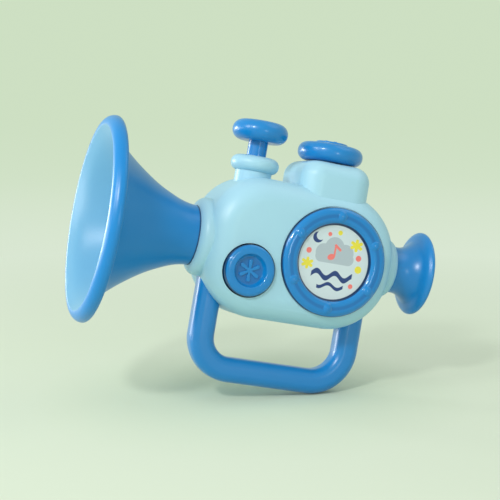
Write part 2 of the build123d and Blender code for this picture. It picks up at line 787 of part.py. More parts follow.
# Knob spindle, with a flat that drives the ratchet wheel
with BuildPart() as knob_spindle:
    with BuildSketch(level(spindle_base_rise)):
        with Locations((turret_x, 0)):
            Circle(spindle_radius)
    extrude(amount=knob_base_rise + spindle_socket_depth - spindle_base_rise)
    with BuildSketch(level(turret_rise + loose_clearance)):
        with Locations((turret_x, 0)):
            Circle(spindle_radius + wall)
    extrude(amount=knob_gap - loose_clearance)
    with BuildSketch(level(spindle_base_rise)):
        with Locations((turret_x, spindle_radius * spindle_flat_share + spindle_radius / 2)):
            Rectangle(2 * spindle_radius, spindle_radius)
    extrude(amount=ratchet_top_rise - spindle_base_rise, mode=Mode.SUBTRACT)
    with BuildSketch(level(spindle_base_rise)):
        with Locations((turret_x, 0)):
            Circle(knob_screw_radius + running_clearance)
    extrude(amount=knob_screw_length, mode=Mode.SUBTRACT)
knob_spindle.part.label = "knob_spindle"
export_step(knob_spindle.part, "parts/knob_spindle.step")

# Ratchet wheel: a scalloped wheel with a notch for every click
with BuildPart() as ratchet_wheel:
    with BuildSketch(level(ratchet_base_rise)):
        with Locations((turret_x, 0)):
            Circle(ratchet_radius)
            with PolarLocations(ratchet_radius + ratchet_notch_offset, ratchet_lobes):
                Circle(ratchet_notch_radius, mode=Mode.SUBTRACT)
            Circle(spindle_radius + running_clearance, mode=Mode.SUBTRACT)
        with Locations((turret_x, spindle_radius * spindle_flat_share + running_clearance + spindle_radius / 4)):
            Rectangle(spindle_radius, spindle_radius / 2)
    extrude(amount=ratchet_thickness)
ratchet_wheel.part.label = "ratchet_wheel"
export_step(ratchet_wheel.part, "parts/ratchet_wheel.step")

# Knob screw, up into the spindle with its head under the wheel
with BuildPart() as knob_screw:
    with BuildSketch(level(ratchet_base_rise - knob_screw_head)):
        with Locations((turret_x, 0)):
            Circle(knob_screw_head_radius)
    extrude(amount=knob_screw_head)
    fillet(knob_screw.edges().group_by(Axis.Z)[0], radius=knob_screw_head / 2)
    with BuildSketch(level(ratchet_base_rise)):
        with Locations((turret_x, 0)):
            Circle(knob_screw_radius)
    extrude(amount=knob_screw_length)
knob_screw.part.label = "knob_screw"
export_step(knob_screw.part, "parts/knob_screw.step")

# Click spring: a leaf whose bump rests in a notch of the wheel
with BuildPart() as click_spring:
    with BuildSketch(level(ratchet_base_rise + (ratchet_thickness - leaf_height) / 2)):
        with BuildLine() as leaf_line:
            Polyline(
                (turret_x - 2 * leaf_bump, leaf_y),
                (turret_x - leaf_bump, leaf_y),
                (turret_x, leaf_y - leaf_bump),
                (turret_x + leaf_bump, leaf_y),
                (turret_x + leaf_length, leaf_y),
            )
        trace(line_width=leaf_thickness)
    extrude(amount=leaf_height)
click_spring.part.label = "click_spring"
export_step(click_spring.part, "parts/click_spring.step")

# Push button: a dished cap with a skirt, revolved about its own centre
button_axis = Axis((button_x, 0, axis_height - button_drop), (0, 1, 0))
crest_y = -casing_half_depth - button_proud
crest_radius = button_radius * button_crest_share
shoulder_y = crest_y + button_radius - crest_radius
brow_radius = button_radius * button_dish_share + button_dish_slope
dish_y = crest_y + button_dish_depth
retainer_y = guide_y + loose_clearance
skirt_end_y = retainer_y + retainer_thickness + retainer_groove
skirt_radius = button_radius - button_skirt_wall
with BuildPart() as button_cap:
    with BuildSketch(Plane(origin=(button_x, 0, axis_height - button_drop))):
        with BuildLine():
            TangentArc((button_radius, shoulder_y), (crest_radius, crest_y), tangent=(0, -1))
            brow = (brow_radius + button_brow_round, crest_y)
            dish_edge = (brow_radius, crest_y + button_brow_round)
            Line((crest_radius, crest_y), brow)
            TangentArc(brow, dish_edge, tangent=(-1, 0))
            Polyline(
                dish_edge,
                (brow_radius - button_dish_slope, dish_y),
                (0, dish_y),
                (0, dish_y + button_floor + spring_boss_height),
                (spring_boss_radius, dish_y + button_floor + spring_boss_height),
                (spring_boss_radius, dish_y + button_floor),
                (skirt_radius, dish_y + button_floor),
                (skirt_radius, skirt_end_y),
                (button_radius, skirt_end_y),
                (button_radius, retainer_y + retainer_thickness),
                (button_radius - retainer_groove, retainer_y + retainer_thickness),
                (button_radius - retainer_groove, retainer_y),
                (button_radius, retainer_y),
                (button_radius, shoulder_y),
            )
        make_face()
    revolve(axis=button_axis)
    dish_plane = Plane(
        origin=(button_x, dish_y, axis_height - button_drop), x_dir=(1, 0, 0), z_dir=(0, -1, 0)
    )
    add(petal_relief(dish_plane, petal_height))
button_cap.part.label = "button_cap"
export_step(button_cap.part, "parts/button_cap.step")

# Button retainer: a ring in the skirt's groove that stops against the guide
with BuildPart() as button_retainer:
    with BuildSketch(facing(retainer_y + retainer_thickness)):
        with Locations(button_centre):
            Circle(button_radius + retainer_overlap)
            Circle(button_radius - retainer_groove, mode=Mode.SUBTRACT)
    extrude(amount=retainer_thickness)
button_retainer.part.label = "button_retainer"
export_step(button_retainer.part, "parts/button_retainer.step")

# Button spring, from the rear shell's post to the back of the cap
button_spring_plane = Plane(
    origin=(button_x, -spring_post_reach, axis_height - button_drop), x_dir=(1, 0, 0), z_dir=(0, -1, 0)
)
button_spring = coil_spring(
    button_spring_plane,
    button_coil_radius,
    button_wire_radius,
    -spring_post_reach - dish_y - button_floor,
    button_coil_turns,
)
button_spring.label = "button_spring"
export_step(button_spring, "parts/button_spring.step")

# Porthole ring: a flat-topped round with six domed rivets on it, held by three pegs
porthole_seat_y = -casing_half_depth + porthole_recess
ring_crest_y = -casing_half_depth - porthole_proud
disc_cover_y = porthole_seat_y - disc_thickness - seat_clearance
dome_radius = (rivet_radius ** 2 + rivet_height ** 2) / (2 * rivet_height)
dome_plane = Plane(
    origin=(porthole_x, ring_crest_y - rivet_height + dome_radius, axis_height - porthole_drop),
    x_dir=(1, 0, 0),
    z_dir=(0, -1, 0),
)
with BuildPart(dome_plane) as rivet_domes:
    with PolarLocations(rivet_circle, rivets, start_angle=90):
        Sphere(dome_radius)
    split(bisect_by=facing(ring_crest_y + (inner_shoulder_fall + rivet_height) / 2), keep=Keep.TOP)
with BuildPart() as porthole_ring:
    with BuildSketch(Plane(origin=(porthole_x, 0, axis_height - porthole_drop))):
        with BuildLine():
            outer_edge = (porthole_radius, ring_crest_y + outer_shoulder_fall)
            inner_edge = (porthole_opening, ring_crest_y + inner_shoulder_fall)
            TangentArc((plateau_outer_radius, ring_crest_y), outer_edge, tangent=(1, 0))
            Line((plateau_outer_radius, ring_crest_y), (plateau_inner_radius, ring_crest_y))
            TangentArc((plateau_inner_radius, ring_crest_y), inner_edge, tangent=(-1, 0))
            Polyline(
                inner_edge,
                (porthole_opening, disc_cover_y),
                (disc_radius + seat_clearance, disc_cover_y),
                (disc_radius + seat_clearance, porthole_seat_y),
                (porthole_radius, porthole_seat_y),
                outer_edge,
            )
        make_face()
    revolve(axis=Axis((porthole_x, 0, axis_height - porthole_drop), (0, 1, 0)))
    add(rivet_domes.part)
    with BuildSketch(facing(porthole_seat_y + peg_length)):
        with Locations(porthole_centre):
            with PolarLocations(rivet_circle, pegs, start_angle=90):
                Circle(peg_radius)
    extrude(amount=peg_length)
porthole_ring.part.label = "porthole_ring"
export_step(porthole_ring.part, "parts/porthole_ring.step")

# Picture disc, seated on the shell inside the ring
with BuildPart() as picture_disc:
    with BuildSketch(facing(porthole_seat_y)):
        with Locations(porthole_centre):
            Circle(disc_radius)
    extrude(amount=disc_thickness)
picture_disc.part.label = "picture_disc"
export_step(picture_disc.part, "parts/picture_disc.step")

# Air tube, from the mouthpiece's nozzle to the reed holder
with BuildPart() as air_tube:
    with BuildSketch(across(tube_left_x)):
        with Locations((0, axis_height)):
            Circle(nozzle_radius + seat_clearance + tube_wall)
            Circle(nozzle_radius + seat_clearance, mode=Mode.SUBTRACT)
    extrude(amount=tube_length)
air_tube.part.label = "air_tube"
export_step(air_tube.part, "parts/air_tube.step")

# Reed holder: a tail in the air tube, a flange against its rib and a shallot cut flat for the tongue
reed_flange_x = reed_rib_x - reed_rib_thickness - seat_clearance
reed_body_x = reed_flange_x - reed_flange_thickness
reed_tip_x = reed_body_x - reed_body_length
reed_flat_rise = reed_body_radius * reed_flat_share
with BuildPart() as reed_holder:
    with BuildSketch(across(reed_tip_x)):
        with Locations((0, axis_height)):
            Circle(reed_body_radius)
    extrude(amount=reed_body_length)
    with BuildSketch(across(reed_body_x)):
        with Locations((0, axis_height)):
            Circle(reed_flange_radius)
    extrude(amount=reed_flange_thickness)
    with BuildSketch(across(reed_flange_x)):
        with Locations((0, axis_height)):
            Circle(nozzle_radius)
    extrude(amount=tube_left_x + reed_tail_length - reed_flange_x)
    with BuildSketch(across(reed_tip_x + wall)):
        with Locations((0, axis_height)):
            Circle(reed_bore_radius)
    extrude(amount=tube_left_x + reed_tail_length - reed_tip_x, mode=Mode.SUBTRACT)
    with BuildSketch(level(reed_flat_rise)):
        with Locations((reed_tip_x + reed_body_length / 2, 0)):
            Rectangle(reed_body_length, 2 * reed_body_radius)
    extrude(amount=reed_body_radius, mode=Mode.SUBTRACT)
    with BuildSketch(level(0)):
        with Locations((reed_tip_x + wall + reed_slot_length / 2, 0)):
            Rectangle(reed_slot_length, reed_slot_width)
    extrude(amount=reed_body_radius, mode=Mode.SUBTRACT)
reed_holder.part.label = "reed_holder"
export_step(reed_holder.part, "parts/reed_holder.step")

# Reed tongue on the shallot's flat
with BuildPart() as reed_tongue:
    with BuildSketch(level(reed_flat_rise)):
        with Locations((reed_body_x - tongue_length / 2, 0)):
            Rectangle(tongue_length, tongue_width)
    extrude(amount=tongue_thickness)
reed_tongue.part.label = "reed_tongue"
export_step(reed_tongue.part, "parts/reed_tongue.step")


def screws(places, length):
    """Cross-slotted screws driven from behind, each a solid of its own."""
    with BuildPart() as group:
        with BuildSketch(facing(screw_seat_depth + screw_head_height)):
            with Locations(*places):
                Circle(screw_head_radius)
        extrude(amount=screw_head_height)
        fillet(group.edges().group_by(Axis.Y)[-1], radius=screw_head_height / 2)
        with BuildSketch(facing(screw_seat_depth)):
            with Locations(*places):
                Circle(screw_radius)
        extrude(amount=length)
        chamfer(group.edges().group_by(Axis.Y)[0], length=screw_radius / 2)
        with BuildSketch(facing(screw_seat_depth + screw_head_height)):
            with Locations(*places):
                Rectangle(screw_slot_length, screw_slot_width)
                Rectangle(screw_slot_width, screw_slot_length)
        extrude(amount=screw_head_height / 2, mode=Mode.SUBTRACT)
    return group.part


casing_screws = screws(casing_screw_places, screw_length)
casing_screws.label = "casing_screws"
export_step(casing_screws, "parts/casing_screws.step")
handle_screws = screws(handle_screw_places, handle_screw_length)
handle_screws.label = "handle_screws"
export_step(handle_screws, "parts/handle_screws.step")
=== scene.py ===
"""Toy trumpet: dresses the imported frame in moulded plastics, prints its picture disc and sets its stage."""

import math

import bmesh
import bpy
from mathutils import Matrix, Vector


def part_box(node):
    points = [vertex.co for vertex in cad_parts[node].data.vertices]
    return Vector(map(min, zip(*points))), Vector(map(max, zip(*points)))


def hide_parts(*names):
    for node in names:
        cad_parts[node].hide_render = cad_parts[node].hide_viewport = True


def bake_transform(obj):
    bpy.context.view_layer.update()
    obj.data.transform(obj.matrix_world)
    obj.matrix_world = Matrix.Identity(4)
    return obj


bl_info = {
    "name": "Toy Trumpet",
    "version": (1, 0, 0),
    "blender": (4, 5, 0),
    "location": "3D View > Sidebar > Toy Trumpet",
    "description": "Dresses a toy trumpet in moulded plastic, with a printed picture disc and a pale stage",
    "category": "Object",
}

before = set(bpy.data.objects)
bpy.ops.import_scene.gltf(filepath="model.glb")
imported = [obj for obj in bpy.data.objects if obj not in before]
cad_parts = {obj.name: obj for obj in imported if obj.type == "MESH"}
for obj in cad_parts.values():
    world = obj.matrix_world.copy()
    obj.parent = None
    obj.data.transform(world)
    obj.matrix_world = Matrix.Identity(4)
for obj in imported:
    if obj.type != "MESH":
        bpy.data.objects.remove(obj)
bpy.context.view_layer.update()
MM = 0.001

# Depths that bumps stand for, in metres
GRAIN_DEPTH = 0.05 * MM
DRAWN_DEPTH = 0.03 * MM
ROLLED_DEPTH = 0.02 * MM
FIBRE_DEPTH = 0.02 * MM

# How near points are welded, and the turn from which an edge stays hard
WELD_REACH = 0.002 * MM
HARD_TURN = math.radians(30.0)

# The printed design, in design units from the disc's centre: places across and up, then sizes
PUFFS = ((-6.8, 4.8, 5.0), (-0.8, 8.4, 5.8), (6.0, 5.8, 5.2))
CLOUD_FOOT = ((-8.2, 2.6), (8.4, 2.6), 3.4)
NOTE_HEAD = {"centre": (-2.0, 2.8), "half_length": 2.3, "half_width": 1.7, "turn": 24.0}
NOTE_STROKES = (((-0.2, 3.4), (-0.2, 9.6), 0.55), ((-0.2, 9.6), (2.8, 7.4), 0.75))
WAVE_PITCH = 0.56
WAVES = (
    {"level": -7.7, "swing": 1.7, "shift": 0.4, "half_width": 1.5, "half_span": 12.4},
    {"level": -13.6, "swing": 1.2, "shift": 2.2, "half_width": 1.0, "half_span": 8.0},
)
MOON = (-11.6, 12.6, 3.1)
MOON_BITE = (-10.2, 13.7, 2.5)
SPARKLES = ((12.2, 11.4, 2.7), (-15.6, -2.6, 2.5))
SPARKLE_THICKNESS = 0.36
YELLOW_DOTS = ((15.4, -2.0, 2.1), (1.2, 17.0, 1.4))
CORAL_DOTS = ((14.6, 4.4, 1.7), (-15.8, 4.6, 1.6), (12.4, -12.0, 1.4), (-4.8, 15.4, 1.2))

# The paper's sweep in metres: its near edge, where its bend begins and the bend's radius,
# the wall's top and half the width; then the steps in the bend
SWEEP_NEAR = -1.6
SWEEP_FLAT = 1.4
SWEEP_BEND = 0.9
SWEEP_TOP = 2.6
SWEEP_HALF_WIDTH = 2.6
SWEEP_STEPS = 24

# Each lamp: its name, its power's setting, its place right of, above and before the target, and its size
LAMPS = (
    ("key lamp", "key_power", (-0.50, 0.66, 1.06), (0.18, 0.18)),
    ("side lamp", "side_power", (-1.15, 0.26, -0.6), (0.3, 0.3)),
    ("side strip", "strip_power", (-1.23, 0.04, -0.25), (1.9, 0.5)),
    ("soft box", "box_power", (-0.92, 0.62, 0.72), (0.4, 0.4)),
    ("fill lamp", "fill_power", (0.50, 0.0, 1.1), (0.2, 0.2)),
    ("top lamp", "top_power", (0.8, 1.0, 0.1), (0.9, 0.9)),
)


# Node sums

class Signal:
    """A node's output that takes part in sums as a number or a vector would."""

    def __init__(self, finish, socket):
        self.finish = finish
        self.socket = socket

    def math(self, operation, *values, clamp=False):
        settings = {"operation": operation, "use_clamp": clamp}
        return self.finish.add("ShaderNodeMath", settings, dict(enumerate((self,) + values)))

    def __add__(self, other):
        return self.math("ADD", other)

    def __radd__(self, other):
        return self.math("ADD", other)

    def __sub__(self, other):
        return self.math("SUBTRACT", other)

    def __rsub__(self, other):
        return self.math("MULTIPLY_ADD", -1.0, other)

    def __mul__(self, other):
        return self.math("MULTIPLY", other)

    def __rmul__(self, other):
        return self.math("MULTIPLY", other)

    def __truediv__(self, other):
        return self.math("DIVIDE", other)

    def __rtruediv__(self, other):
        return self.finish.add("ShaderNodeMath", {"operation": "DIVIDE"}, {0: other, 1: self})

    def __abs__(self):
        return self.math("ABSOLUTE")

    def root(self):
        return self.math("SQRT")

    def sine(self):
        return self.math("SINE")

    def smaller(self, other):
        return self.math("MINIMUM", other)

    def larger(self, other):
        return self.math("MAXIMUM", other)

    def clamped(self):
        """Kept between 0 and 1."""
        return self.math("ADD", 0.0, clamp=True)

    def around(self, middle, spread):
        """A noise from 0 to 1, moved to vary round a middle."""
        return (self - 0.5) * spread + middle

    def within(self, limit, softness):
        """1 where this distance is under a limit and 0 beyond it, with a soft edge."""
        return ((limit - self) / softness + 0.5).clamped()


class Finish:
    """One finish, of a surface or of the air: nodes that are added through a single method."""

    def __init__(self, name, kind="Material"):
        store = {"Material": bpy.data.materials, "World": bpy.data.worlds}[kind]
        self.block = store.new(name)
        self.block.use_nodes = True
        self.nodes = self.block.node_tree.nodes
        self.links = self.block.node_tree.links
        self.nodes.clear()
        self.output = self.nodes.new("ShaderNodeOutput" + kind)

    def add(self, kind, settings=None, inputs=None, output=0):
        """Adds a node with its settings first, then the values or links of its sockets."""
        node = self.nodes.new(kind)
        for key, value in (settings or {}).items():
            setattr(node, key, value)
        for key, value in (inputs or {}).items():
            if isinstance(value, Signal):
                self.links.new(value.socket, node.inputs[key])
            else:
                node.inputs[key].default_value = value
        return Signal(self, node.outputs[output])

    def split(self, vector, axes):
        """The named parts of a vector, such as "xz"."""
        return [self.add("ShaderNodeSeparateXYZ", None, {0: vector}, output=axis.upper()) for axis in axes]

    def place(self, axes):
        """The named row-frame coordinates of a point at rest, in millimetres."""
        spot = self.add("ShaderNodeTexCoord", output="Object")
        return [part / MM for part in self.split(spot, axes)]

    def centred(self, box):
        """A point's x and z from the middle of a box, in millimetres."""
        low, high = box
        x, z = self.place("xz")
        return x - (low.x + high.x) / 2 / MM, z - (low.z + high.z) / 2 / MM

    def radius(self, box):
        """A point's distance from the level axis of a round piece, in millimetres."""
        across, rise = self.centred(box)
        return (across * across + rise * rise).root()

    def hollow(self, axis_height, reach):
        """Share that grows to 1 where a surface faces the instrument's axis, as the horn's inside does."""
        y, z = self.place("yz")
        across, rise = self.split(self.add("ShaderNodeTexCoord", output="Normal"), "yz")
        up = z - axis_height
        inward = (y * across + up * rise) / (y * y + up * up).root()
        return (inward / -reach).clamped()

    def in_view(self):
        """1 for what the camera sees directly, in a reflection or through a clear body."""
        camera, glossy, transmission = (
            self.add("ShaderNodeLightPath", output="Is %s Ray" % kind)
            for kind in ("Camera", "Glossy", "Transmission")
        )
        return camera.larger(glossy).larger(transmission)

    def noise(self, scale, detail=2.0, roughness=0.5):
        """Cloudy variation between 0 and 1; the scale counts its lumps in a metre."""
        spot = self.add("ShaderNodeTexCoord", output="Object")
        values = {"Vector": spot, "Scale": scale, "Detail": detail, "Roughness": roughness}
        return self.add("ShaderNodeTexNoise", None, values)

    def blend(self, share, under, over, mode="MIX"):
        """Lays one colour over another by a share."""
        settings = {"data_type": "RGBA", "blend_type": mode, "clamp_factor": True}
        return self.add("ShaderNodeMix", settings, {0: share, 6: paint(under), 7: paint(over)}, output=2)

    def mix_shaders(self, share, first, second):
        return self.add("ShaderNodeMixShader", None, {0: share, 1: first, 2: second})

    def bump(self, height, strength, depth):
        return self.add("ShaderNodeBump", None, {"Height": height, "Strength": strength, "Distance": depth})

    def close(self, shader):
        """Ends the finish with a shader."""
        self.links.new(shader.socket, self.output.inputs["Surface"])
        return self.block

    def shade(self, **inputs):
        """Ends the finish with a principled shader."""
        values = {key.replace("_", " "): value for key, value in inputs.items()}
        return self.close(self.add("ShaderNodeBsdfPrincipled", None, values))


def paint(colour):
    """A colour as a node socket takes it."""
    return colour if isinstance(colour, Signal) else (*tuple(colour)[:3], 1.0)


def scaled(colour, by):
    return [part * by for part in colour]


def radius_of(box):
    """Half a round piece's width, in millimetres."""
    low, high = box
    return (high.x - low.x) / 2 / MM


def line_share(distance, width):
    """Share of a line's colour, which is full from half its width on."""
    return (distance / width * 2.0).clamped()


# Finishes

def moulded_plastic(name, colour, look, roughness, skin=(0.0, 0.2), shine=0.5, details=()):
    """Moulded plastic: nearly even colour, a fine spark-eroded grain and a soft gloss.

    The skin holds its coat's weight and roughness, and each detail paints something on its colour.
    """
    finish = Finish(name)
    cloud = finish.noise(look.cloud_scale, detail=3.0)
    grain = finish.noise(look.grain_scale, roughness=0.6)
    lift = 0.02 * look.cloud_depth
    pale = [min(1.0, part * (1.0 + look.cloud_depth) + lift) for part in colour]
    body = finish.blend(cloud, scaled(colour, 1.0 - look.cloud_depth), pale)
    for detail in details:
        body = detail(finish, look, body)
    drift = look.roughness_drift
    return finish.shade(
        Base_Color=body,
        Roughness=cloud.around(roughness, drift) + grain.around(0.0, drift),
        Normal=finish.bump(grain, look.grain_strength, GRAIN_DEPTH),
        IOR=1.46,
        Specular_IOR_Level=shine,
        Coat_Weight=skin[0],
        Coat_Roughness=skin[1],
    )


def bell_sheen_and_gap_shade(axis_height, collar):
    """The bell's inside in a lighter blue, a painted sheen for the light it catches, and a painted shade line
    outside where it enters its collar.
    """

    def detail(finish, look, body):
        # Painted sheen: the lighter blue grows in where the surface faces the horn's axis
        hollow = finish.hollow(axis_height, look.inside_sheen_reach)
        body = finish.blend(hollow, body, look.inside_sheen_blue)
        # The painted shade's line begins two widths before the collar and is full one width on
        x, = finish.place("x")
        line = ((x - collar) / look.gap_shade_width + 2.0).clamped()
        return finish.blend(line * (1.0 - hollow), body, look.gap_shade_blue)

    return detail


def gap_shade_lines(box, opening=0.0):
    """Painted shade: dark lines at a round piece's outer edge and, if it has one, round its opening, where
    the gaps beside it fall in shadow.
    """

    def detail(finish, look, body):
        radius, width = finish.radius(box), look.gap_shade_width
        line = line_share(radius - radius_of(box) + width, width)
        if opening:
            line = line.larger(line_share(opening + width - radius, width))
        return finish.blend(line, body, look.gap_shade_blue)

    return detail


def painted_ground_shade(box, middle, half_width, depth):
    """Painted shade: a deeper blue on the ground that a relief stands on, from a depth behind the piece's
    front, where the relief's shade falls.
    """

    def detail(finish, look, body):
        low, high = box
        y, = finish.place("y")
        sunk = (((y - low.y / MM) / depth - 1.0) * look.ground_shade_edge + 0.5).clamped()
        ground = abs(finish.radius(box) - middle).within(half_width, look.gap_shade_width * 2.0)
        return finish.blend(ground * sunk, body, look.ground_shade_blue)

    return detail


def plain_plastic(name, colour):
    """The unseen inner mouldings: duller, with faint flow marks."""
    finish = Finish(name)
    flow = finish.noise(90.0, detail=4.0)
    grain = finish.noise(2600.0)
    return finish.shade(
        Base_Color=finish.blend(flow, scaled(colour, 0.93), colour),
        Roughness=flow.around(0.45, spread=0.12),
        Normal=finish.bump(grain, strength=0.15, depth=GRAIN_DEPTH),
    )


def drawn_steel(name, colour, drawn):
    """Zinc-plated or spring steel with fine marks from drawing or turning."""
    finish = Finish(name)
    marks = finish.noise(drawn, detail=4.0, roughness=0.7)
    return finish.shade(
        Base_Color=finish.blend(marks, scaled(colour, 0.85), colour),
        Metallic=1.0,
        Roughness=marks.around(0.28, spread=0.16),
        Normal=finish.bump(marks, strength=0.12, depth=DRAWN_DEPTH),
    )


def rolled_brass(name, colour):
    """Thin rolled brass with streaks along the tongue."""
    finish = Finish(name)
    x, y, z = finish.place("xyz")
    along, beside = 0.2, 9.0
    stretched = finish.add("ShaderNodeCombineXYZ", None, {0: x * along, 1: y * beside, 2: z * beside})
    streak = finish.add("ShaderNodeTexNoise", None, {"Vector": stretched, "Scale": 1.0, "Detail": 4.0})
    return finish.shade(
        Base_Color=finish.blend(streak, scaled(colour, 0.8), colour),
        Metallic=1.0,
        Roughness=streak.around(0.24, spread=0.2),
        Normal=finish.bump(streak, strength=0.1, depth=ROLLED_DEPTH),
    )


def soft_tube(name, colour):
    """Soft extruded tube with a dull skin and faint rings."""
    finish = Finish(name)
    ring_pitch = 1.7
    x, = finish.place("x")
    ring = (x * ring_pitch).sine() * 0.5 + 0.5
    dust = finish.noise(700.0, detail=3.0)
    return finish.shade(
        Base_Color=finish.blend(dust, scaled(colour, 0.9), colour),
        Roughness=dust.around(0.6, spread=0.15),
        Normal=finish.bump(ring * 0.4 + dust, strength=0.2, depth=GRAIN_DEPTH),
    )


class Drawing:
    """Distances on the printed card, in design units from its centre."""

    def __init__(self, finish, disc, unit):
        across, up = finish.centred(disc)
        self.u, self.v = across / unit, up / unit

    def spot(self, across, up):
        """Distance to a point."""
        du, dv = self.u - across, self.v - up
        return (du * du + dv * dv).root()

    def oval(self, centre, half_length, half_width, turn):
        """Distance-like measure of an oval turned by some degrees, 1 on its edge."""
        du, dv = self.u - centre[0], self.v - centre[1]
        cosine, sine = math.cos(math.radians(turn)), math.sin(math.radians(turn))
        along = (du * cosine + dv * sine) / half_length
        beside = (dv * cosine - du * sine) / half_width
        return (along * along + beside * beside).root()

    def stroke(self, start, end):
        """Distance to a straight stroke."""
        run = (end[0] - start[0], end[1] - start[1])
        length = run[0] ** 2 + run[1] ** 2
        du, dv = self.u - start[0], self.v - start[1]
        share = ((du * run[0] + dv * run[1]) / length).clamped()
        near_u, near_v = du - share * run[0], dv - share * run[1]
        return (near_u * near_u + near_v * near_v).root()

    def sparkle(self, across, up, arm):
        """Distance to three crossed strokes."""
        rays = self.stroke((across, up - arm), (across, up + arm))
        for lean in (arm / 2, -arm / 2):
            rays = rays.smaller(self.stroke((across - arm, up - lean), (across + arm, up + lean)))
        return rays

    def wave(self, level, swing, shift):
        """Height over or under a rolling line."""
        return abs(self.v - ((self.u * WAVE_PITCH + shift).sine() * swing + level))


def picture_print_and_rim_shade(name, disc, picture):
    """A printed card: a cloud with a note on it over two rolling waves, with a moon, sparkles and dots, and a
    painted shade line round its rim.
    """
    finish = Finish(name)
    draw = Drawing(finish, disc, picture.design_scale)
    soft = picture.print_softness

    (across, up, radius), *others = PUFFS
    cloud = draw.spot(across, up) - radius
    for across, up, radius in others:
        cloud = cloud.smaller(draw.spot(across, up) - radius)
    start, end, half_width = CLOUD_FOOT
    cloud = cloud.smaller(draw.stroke(start, end) - half_width)
    colour = finish.blend(cloud.within(0.0, soft), picture.ground, picture.cloud)

    width = NOTE_HEAD["half_width"]
    note = draw.oval(**NOTE_HEAD) * width - width
    for start, end, half_width in NOTE_STROKES:
        note = note.smaller(draw.stroke(start, end) - half_width)
    colour = finish.blend(note.within(0.0, soft), colour, picture.coral)

    for wave in WAVES:
        line = draw.wave(wave["level"], wave["swing"], wave["shift"]).within(wave["half_width"], soft)
        span = abs(draw.u).within(wave["half_span"], soft * 2.0)
        colour = finish.blend(line * span, colour, picture.ink)

    across, up, radius = MOON
    bite_across, bite_up, bite_radius = MOON_BITE
    bite = draw.spot(bite_across, bite_up).within(bite_radius, soft)
    moon = draw.spot(across, up).within(radius, soft) * (1.0 - bite)
    colour = finish.blend(moon, colour, picture.ink)

    for across, up, arm in SPARKLES:
        rays = draw.sparkle(across, up, arm).within(arm * SPARKLE_THICKNESS, soft)
        colour = finish.blend(rays, colour, picture.yellow)
    for dots, ink in ((YELLOW_DOTS, picture.yellow), (CORAL_DOTS, picture.coral)):
        for across, up, radius in dots:
            colour = finish.blend(draw.spot(across, up).within(radius, soft), colour, ink)

    # Painted shade: a thin dark line round the picture, by the ring's edge, where the ring's shadow falls
    shown = radius_of(disc) / picture.design_scale - picture.hidden_rim
    ring_edge_shade = abs(draw.spot(0.0, 0.0) - shown).within(picture.border_width, soft)
    colour = finish.blend(ring_edge_shade, colour, picture.ring_edge_shade)

    fibre = finish.noise(1400.0, detail=3.0)
    return finish.shade(
        Base_Color=colour,
        Roughness=fibre.around(0.34, spread=0.08),
        Normal=finish.bump(fibre, strength=0.05, depth=FIBRE_DEPTH),
        Coat_Weight=0.25,
        Coat_Roughness=0.2,
    )


def stage_paper(name, look):
    """Pale paper that takes the toy's shadow, turns even away from it and has a clear back."""
    finish = Finish(name)
    x, y = finish.place("xy")
    away = (y * MM / look.backdrop_reach).clamped()
    colour = finish.blend(away, look.floor_colour, look.backdrop_colour)
    lit_colour = finish.blend(1.0, colour, look.paper_tint, "MULTIPLY")
    values = {"Base Color": lit_colour, "Roughness": 0.9, "Specular IOR Level": 0.1}
    paper = finish.add("ShaderNodeBsdfPrincipled", None, values)
    glow = finish.add("ShaderNodeEmission", None, {"Color": colour, "Strength": look.floor_glow})

    distance = (x * x + y * y).root() * MM
    far = ((distance - look.shade_reach) / look.shade_fade).clamped()
    near = (distance / look.contact_reach).clamped()
    even = far * (1.0 - look.floor_evenness) + near * near * look.floor_evenness
    lit = finish.mix_shaders(finish.in_view() * even, paper, glow)

    behind = finish.add("ShaderNodeNewGeometry", output="Backfacing")
    seen = finish.add("ShaderNodeLightPath", output="Is Camera Ray")
    return finish.close(finish.mix_shaders(behind * seen, lit, finish.add("ShaderNodeBsdfTransparent")))


def pale_air(name, look):
    """The light from all round, which the camera and reflections see in the backdrop's colour."""
    finish = Finish(name, "World")
    air, seen = (
        finish.add("ShaderNodeBackground", None, {"Color": paint(colour), "Strength": strength})
        for colour, strength in ((look.air_colour, look.air_strength), (look.backdrop_colour, 1.0))
    )
    return finish.close(finish.mix_shaders(finish.in_view(), air, seen))


# Shared work on the frame's nodes

def dress(material, *pieces):
    """Gives frame nodes, or pieces of this script, a material and even shading that keeps hard edges."""
    for piece in pieces:
        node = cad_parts[piece] if isinstance(piece, str) else piece
        node.data.materials.clear()
        node.data.materials.append(material)
        for face in node.data.polygons:
            face.use_smooth = True
        weld = node.modifiers.new("Weld", "WELD")
        weld.merge_threshold = WELD_REACH
        split = node.modifiers.new("Hard edges", "EDGE_SPLIT")
        split.use_edge_angle = True
        split.use_edge_sharp = False
        split.split_angle = HARD_TURN


def seated_spring(name):
    """Stands in for a spring, whose coils close up between their seat on the casing and a moving body, with a
    baked copy of its mesh; the frame's own node is hidden.
    """
    spring = bpy.data.objects.new(name + "_coils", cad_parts[name].data.copy())
    bpy.context.scene.collection.objects.link(spring)
    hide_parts(name)
    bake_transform(spring)
    return spring


# Settings

def tone(name, description, default):
    return bpy.props.FloatVectorProperty(
        name=name, description=description, default=default, subtype="COLOR", size=3, min=0.0, max=1.0
    )


def amount(name, description, default, **limits):
    return bpy.props.FloatProperty(name=name, description=description, default=default, **limits)


def factor(name, description, default):
    return amount(name, description, default, min=0.0, max=1.0, subtype="FACTOR")


def metres(name, description, default):
    return amount(name, description, default, min=0.0, subtype="DISTANCE")


def millimetres(name, description, default):
    return amount(name, description + " in millimetres", default, min=0.0)


def degrees(name, description, default):
    return amount(name, description, math.radians(default), subtype="ANGLE")


def watts(name, description, default):
    return amount(name, description + " in watts", default, min=0.0)


